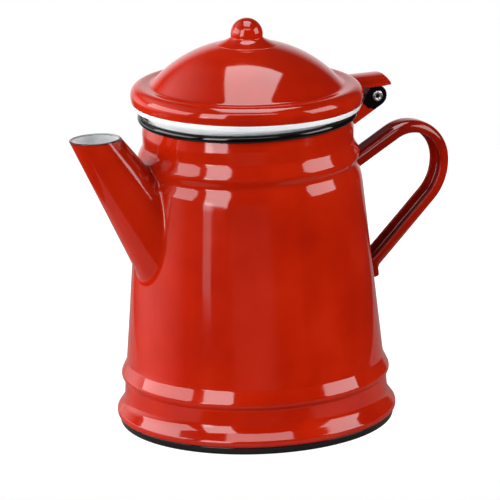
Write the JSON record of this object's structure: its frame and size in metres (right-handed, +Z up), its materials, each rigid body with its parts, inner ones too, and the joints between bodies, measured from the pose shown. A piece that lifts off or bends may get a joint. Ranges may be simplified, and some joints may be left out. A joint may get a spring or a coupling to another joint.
{
  "type": "coffee pot",
  "caption": "Red enamelled steel coffee pot: tapering ribbed body, straight conical spout, bent strap handle and a domed lid that hinges open at the handle side.",
  "frame": {"origin": "centre of the standing plane, on the body's axis", "axes": "+Z up along the body's axis, -X towards the spout, +X towards the handle and hinge"},
  "size_m": [0.1761, 0.12, 0.1755],
  "materials": {
    "red_enamel": "gloss",
    "black_enamel": "gloss",
    "white_enamel": "gloss",
    "steel": "polished"
  },
  "bodies": {
    "pot": {"body_shell": "red_enamel", "rim_bead": "black_enamel", "bottom_disc": "black_enamel", "spout_tube": "red_enamel", "handle_strap": "red_enamel", "hinge_bracket": "red_enamel", "hinge_pin": "steel"},
    "lid": {"lid_shell": "red_enamel", "lid_ring": "white_enamel", "lid_knob": "red_enamel", "hinge_leaf": "red_enamel"}
  },
  "joints": [
    {"name": "lid_hinge", "type": "hinge", "parent": "pot", "child": "lid", "pos_m": [0.0575, 0, 0.136], "axis": [0, 1, 0], "range_deg": [0, 105]}
  ]
}
